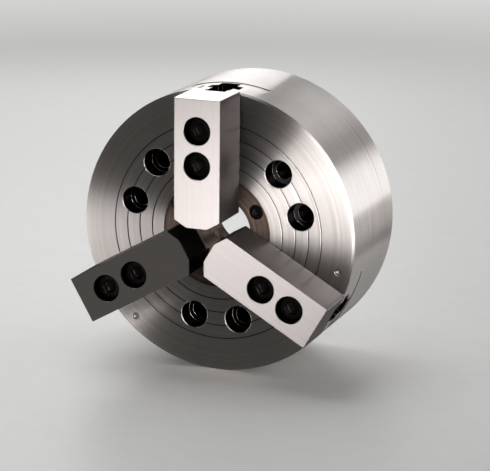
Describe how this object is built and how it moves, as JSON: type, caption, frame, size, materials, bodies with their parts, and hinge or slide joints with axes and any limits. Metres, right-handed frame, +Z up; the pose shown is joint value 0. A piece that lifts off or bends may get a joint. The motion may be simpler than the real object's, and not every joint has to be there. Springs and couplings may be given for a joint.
{
  "type": "three-jaw wedge power chuck",
  "caption": "Wedge-type power chuck with a through hole: a round steel body, sliding base jaws driven by an inner plunger, bolted top jaws and a draw nut.",
  "frame": {"origin": "centre of the rear mounting face", "axes": "+Y along the chuck axis towards the spindle, +Z up through jaw 1, +X to the right seen from the front"},
  "size_m": [0.21, 0.1293, 0.21],
  "materials": {
    "body_steel": "turned and ground steel, concentric marks on the face",
    "jaw_steel": "surface-ground steel",
    "hardened_steel": "hardened and ground steel",
    "bush_steel": "oil-browned turned steel",
    "bright_steel": "polished steel",
    "black_oxide": "black oxide over machined steel"
  },
  "bodies": {
    "housing": {"chuck_body": "body_steel", "grease_plugs": "hardened_steel", "guide_bush": "bush_steel", "guide_bush_screws": "black_oxide"},
    "plunger": {"wedge_plunger": "hardened_steel", "nut_retaining_ring": "hardened_steel", "retaining_ring_screws": "black_oxide", "detent_balls": "bright_steel", "detent_springs": "bright_steel", "detent_set_screws": "black_oxide"},
    "nut": {"draw_nut": "bush_steel"},
    "jaw_1": {"master_jaw_1": "hardened_steel", "t_nut_1": "hardened_steel", "top_jaw_1": "jaw_steel", "jaw_bolts_1": "black_oxide"},
    "jaw_2": {"master_jaw_2": "hardened_steel", "t_nut_2": "hardened_steel", "top_jaw_2": "jaw_steel", "jaw_bolts_2": "black_oxide"},
    "jaw_3": {"master_jaw_3": "hardened_steel", "t_nut_3": "hardened_steel", "top_jaw_3": "jaw_steel", "jaw_bolts_3": "black_oxide"}
  },
  "joints": [
    {"name": "plunger_slide", "type": "slide", "parent": "housing", "child": "plunger", "axis": [0, 1, 0], "range_m": [-0.008, 0.008]},
    {"name": "draw_nut_spin", "type": "hinge", "parent": "plunger", "child": "nut", "pos_m": [0, -0.024, 0], "axis": [0, 1, 0], "continuous": true},
    {"name": "jaw_1_slide", "type": "slide", "parent": "housing", "child": "jaw_1", "axis": [0, 0, 1], "range_m": [-0.00185, 0.00185]},
    {"name": "jaw_2_slide", "type": "slide", "parent": "housing", "child": "jaw_2", "axis": [0.866, 0, -0.5], "range_m": [-0.00185, 0.00185]},
    {"name": "jaw_3_slide", "type": "slide", "parent": "housing", "child": "jaw_3", "axis": [-0.866, 0, -0.5], "range_m": [-0.00185, 0.00185]}
  ],
  "couplings": [
    {"joint": "jaw_1_slide", "follows": "plunger_slide", "ratio": -0.23125},
    {"joint": "jaw_2_slide", "follows": "plunger_slide", "ratio": -0.23125},
    {"joint": "jaw_3_slide", "follows": "plunger_slide", "ratio": -0.23125}
  ]
}
